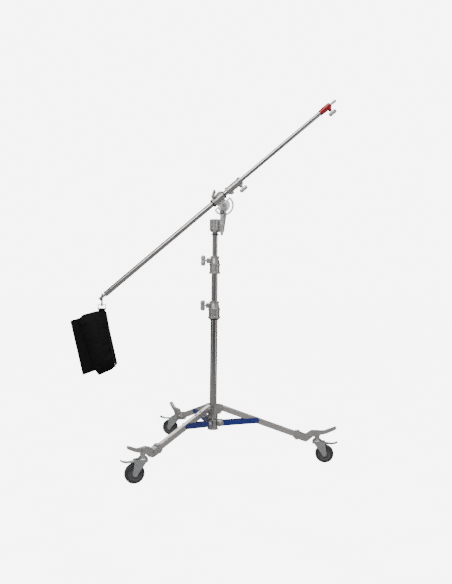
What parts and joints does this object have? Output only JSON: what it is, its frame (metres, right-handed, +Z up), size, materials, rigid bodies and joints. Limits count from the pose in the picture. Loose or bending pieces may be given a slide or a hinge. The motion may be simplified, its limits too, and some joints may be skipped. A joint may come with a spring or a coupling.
{
  "type": "c stand",
  "caption": "Wheeled boom stand with folding braced legs, telescopic mast, tilting telescopic boom and a hanging saddle sandbag.",
  "frame": {"origin": "on the floor, on the mast's axis", "axes": "+Z up along the mast; +X towards the side that the boom's tip leans over; -Y faces the tilt lever's side"},
  "size_m": [1.4915, 1.1845, 2.0147],
  "materials": {
    "mast_steel": "polished, satin highlights",
    "leg_steel": "satin plated steel",
    "cast_alloy": "satin die-cast",
    "blue_brace": "gloss blue paint",
    "red_alloy": "red anodised",
    "zinc_fork": "zinc plated",
    "knob_alloy": "satin",
    "bolt_steel": "satin",
    "lever_chrome": "polished",
    "black_rubber": "matte",
    "black_plastic": "matte",
    "grey_tyre": "matte",
    "grey_core": "matte",
    "bag_fabric": "coated woven nylon"
  },
  "bodies": {
    "base": {"column_tube": "mast_steel", "lower_hub": "cast_alloy", "brace_pivot_bolts": "bolt_steel", "lower_collar": "cast_alloy", "lower_collar_ring": "black_rubber"},
    "lower_collar_knob": {"lower_collar_knob": "knob_alloy"},
    "leg_hub": {"leg_hub": "cast_alloy", "leg_pivot_bolts": "bolt_steel"},
    "hub_lock_screw": {"hub_lock_screw": "knob_alloy"},
    "leg_1": {"leg_tube_1": "leg_steel", "leg_end_1": "cast_alloy", "caster_stem_1": "zinc_fork"},
    "brace_1": {"brace_1": "blue_brace"},
    "caster_1": {"caster_fork_1": "zinc_fork"},
    "wheel_1": {"caster_tyre_1": "grey_tyre", "caster_core_1": "grey_core"},
    "brake_pedal_1": {"brake_pedal_1": "zinc_fork"},
    "leg_2": {"leg_tube_2": "leg_steel", "leg_end_2": "cast_alloy", "caster_stem_2": "zinc_fork"},
    "brace_2": {"brace_2": "blue_brace"},
    "caster_2": {"caster_fork_2": "zinc_fork"},
    "wheel_2": {"caster_tyre_2": "grey_tyre", "caster_core_2": "grey_core"},
    "brake_pedal_2": {"brake_pedal_2": "zinc_fork"},
    "leg_3": {"leg_tube_3": "leg_steel", "leg_end_3": "cast_alloy", "caster_stem_3": "zinc_fork"},
    "brace_3": {"brace_3": "blue_brace"},
    "caster_3": {"caster_fork_3": "zinc_fork"},
    "wheel_3": {"caster_tyre_3": "grey_tyre", "caster_core_3": "grey_core"},
    "brake_pedal_3": {"brake_pedal_3": "zinc_fork"},
    "riser_1": {"riser_1_tube": "mast_steel", "riser_1_bush": "black_plastic", "upper_collar": "cast_alloy"},
    "upper_collar_knob": {"upper_collar_knob": "knob_alloy"},
    "riser_2_slider": {"riser_2_bush": "black_plastic"},
    "riser_2": {"riser_2_tube": "mast_steel", "receiver": "cast_alloy", "receiver_ring": "black_rubber", "tilt_bolts": "bolt_steel"},
    "tilt_lever": {"tilt_lever": "lever_chrome"},
    "boom_head": {"boom_sleeve": "cast_alloy", "sleeve_rings": "black_rubber", "quadrant_plate": "cast_alloy"},
    "sleeve_knob": {"sleeve_knob": "knob_alloy"},
    "boom_outer": {"boom_tube": "mast_steel", "boom_collar": "cast_alloy", "tail_pin": "bolt_steel"},
    "boom_collar_knob": {"boom_collar_knob": "knob_alloy"},
    "boom_inner": {"boom_inner_tube": "mast_steel", "tip_socket": "red_alloy", "tip_pin": "bolt_steel"},
    "tip_knob": {"tip_knob": "knob_alloy"},
    "snap_hook": {"snap_hook": "bolt_steel"},
    "sandbag": {"bag_ring": "bolt_steel", "sandbag_strap": "bag_fabric", "sandbag_front": "bag_fabric", "sandbag_back": "bag_fabric"}
  },
  "joints": [
    {"name": "lower_collar_knob_turn", "type": "hinge", "parent": "base", "child": "lower_collar_knob", "pos_m": [-0.0463, 0, 0.852], "axis": [-1, 0, 0], "range_deg": [0, 270]},
    {"name": "leg_hub_slide", "type": "slide", "parent": "base", "child": "leg_hub", "axis": [0, 0, 1], "range_m": [0, 0.3138]},
    {"name": "hub_lock_turn", "type": "hinge", "parent": "leg_hub", "child": "hub_lock_screw", "pos_m": [-0.0383, 0, 0.233], "axis": [-1, 0, 0], "range_deg": [0, 270]},
    {"name": "leg_1_fold", "type": "hinge", "parent": "leg_hub", "child": "leg_1", "pos_m": [0.04475, -0.0047, 0.283], "axis": [0.1045, 0.9945, 0], "range_deg": [0, 60.1]},
    {"name": "brace_1_fold", "type": "hinge", "parent": "base", "child": "brace_1", "pos_m": [0.04475, -0.0047, 0.197], "axis": [-0.1045, -0.9945, 0], "range_deg": [0, 71.22]},
    {"name": "caster_1_swivel", "type": "hinge", "parent": "leg_1", "child": "caster_1", "pos_m": [0.57483, -0.06042, 0.112], "axis": [0, 0, 1], "continuous": true},
    {"name": "wheel_1_roll", "type": "hinge", "parent": "caster_1", "child": "wheel_1", "pos_m": [0.61396, -0.06873, 0.05], "axis": [0.2079, 0.9781, 0], "continuous": true},
    {"name": "brake_pedal_1_press", "type": "hinge", "parent": "caster_1", "child": "brake_pedal_1", "pos_m": [0.6076, -0.06738, 0.109], "axis": [0.2079, 0.9781, 0], "range_deg": [0, 6]},
    {"name": "leg_2_fold", "type": "hinge", "parent": "leg_hub", "child": "leg_2", "pos_m": [-0.0183, 0.04111, 0.283], "axis": [-0.9135, -0.4067, 0], "range_deg": [0, 60.1]},
    {"name": "brace_2_fold", "type": "hinge", "parent": "base", "child": "brace_2", "pos_m": [-0.0183, 0.04111, 0.197], "axis": [0.9135, 0.4067, 0], "range_deg": [0, 71.22]},
    {"name": "caster_2_swivel", "type": "hinge", "parent": "leg_2", "child": "caster_2", "pos_m": [-0.23509, 0.52803, 0.112], "axis": [0, 0, 1], "continuous": true},
    {"name": "wheel_2_roll", "type": "hinge", "parent": "caster_2", "child": "wheel_2", "pos_m": [-0.27373, 0.53838, 0.05], "axis": [-0.2588, -0.9659, 0], "continuous": true},
    {"name": "brake_pedal_2_press", "type": "hinge", "parent": "caster_2", "child": "brake_pedal_2", "pos_m": [-0.26745, 0.5367, 0.109], "axis": [-0.2588, -0.9659, 0], "range_deg": [0, 6]},
    {"name": "leg_3_fold", "type": "hinge", "parent": "leg_hub", "child": "leg_3", "pos_m": [-0.02645, -0.03641, 0.283], "axis": [0.809, -0.5878, 0], "range_deg": [0, 60.1]},
    {"name": "brace_3_fold", "type": "hinge", "parent": "base", "child": "brace_3", "pos_m": [-0.02645, -0.03641, 0.197], "axis": [-0.809, 0.5878, 0], "range_deg": [0, 71.22]},
    {"name": "caster_3_swivel", "type": "hinge", "parent": "leg_3", "child": "caster_3", "pos_m": [-0.33974, -0.46761, 0.112], "axis": [0, 0, 1], "continuous": true},
    {"name": "wheel_3_roll", "type": "hinge", "parent": "caster_3", "child": "wheel_3", "pos_m": [-0.37733, -0.48129, 0.05], "axis": [0.342, -0.9397, 0], "continuous": true},
    {"name": "brake_pedal_3_press", "type": "hinge", "parent": "caster_3", "child": "brake_pedal_3", "pos_m": [-0.37122, -0.47907, 0.109], "axis": [0.342, -0.9397, 0], "range_deg": [0, 6]},
    {"name": "riser_1_slide", "type": "slide", "parent": "base", "child": "riser_1", "axis": [0, 0, 1], "range_m": [-0.145, 0.34]},
    {"name": "upper_collar_knob_turn", "type": "hinge", "parent": "riser_1", "child": "upper_collar_knob", "pos_m": [-0.0463, 0, 1.103], "axis": [-1, 0, 0], "range_deg": [0, 270]},
    {"name": "riser_2_slide", "type": "slide", "parent": "riser_1", "child": "riser_2_slider", "axis": [0, 0, 1], "range_m": [-0.11, 0.42]},
    {"name": "mast_pan", "type": "hinge", "parent": "riser_2_slider", "child": "riser_2", "pos_m": [0, 0, 1.2], "axis": [0, 0, 1], "continuous": true},
    {"name": "tilt_lever_turn", "type": "hinge", "parent": "riser_2", "child": "tilt_lever", "pos_m": [0.03689, 0, 1.37228], "axis": [0, -1, 0], "range_deg": [0, 90]},
    {"name": "boom_tilt", "type": "hinge", "parent": "riser_2", "child": "boom_head", "pos_m": [0.045, 0, 1.414], "axis": [0, -1, 0], "range_deg": [-75, 12]},
    {"name": "sleeve_knob_turn", "type": "hinge", "parent": "boom_head", "child": "sleeve_knob", "pos_m": [0.01105, 0, 1.44414], "axis": [-0.4779, -0.682, 0.5536], "range_deg": [0, 270]},
    {"name": "boom_slide", "type": "slide", "parent": "boom_head", "child": "boom_outer", "axis": [0.757, 0, 0.6534], "range_m": [-0.015, 0.45]},
    {"name": "boom_collar_knob_turn", "type": "hinge", "parent": "boom_outer", "child": "boom_collar_knob", "pos_m": [0.12536, 0, 1.54281], "axis": [0.6534, 0, -0.757], "range_deg": [0, 270]},
    {"name": "boom_extend", "type": "slide", "parent": "boom_outer", "child": "boom_inner", "axis": [0.757, 0, 0.6534], "range_m": [-0.57, 0.2]},
    {"name": "tip_knob_turn", "type": "hinge", "parent": "boom_inner", "child": "tip_knob", "pos_m": [0.62195, 0, 1.97145], "axis": [0.6534, 0, -0.757], "range_deg": [0, 270]},
    {"name": "hook_swing", "type": "hinge", "parent": "boom_outer", "child": "snap_hook", "pos_m": [-0.62936, 0, 0.89135], "axis": [0, 1, 0], "range_deg": [-75, 12]},
    {"name": "bag_swivel", "type": "hinge", "parent": "snap_hook", "child": "sandbag", "pos_m": [-0.62936, 0, 0.84835], "axis": [0, 0, 1], "continuous": true}
  ],
  "couplings": [
    {"joint": "leg_1_fold", "follows": "leg_hub_slide", "rad_per_m": 3.3371},
    {"joint": "brace_1_fold", "follows": "leg_hub_slide", "rad_per_m": 3.9557},
    {"joint": "leg_2_fold", "follows": "leg_hub_slide", "rad_per_m": 3.3371},
    {"joint": "brace_2_fold", "follows": "leg_hub_slide", "rad_per_m": 3.9557},
    {"joint": "leg_3_fold", "follows": "leg_hub_slide", "rad_per_m": 3.3371},
    {"joint": "brace_3_fold", "follows": "leg_hub_slide", "rad_per_m": 3.9557}
  ]
}
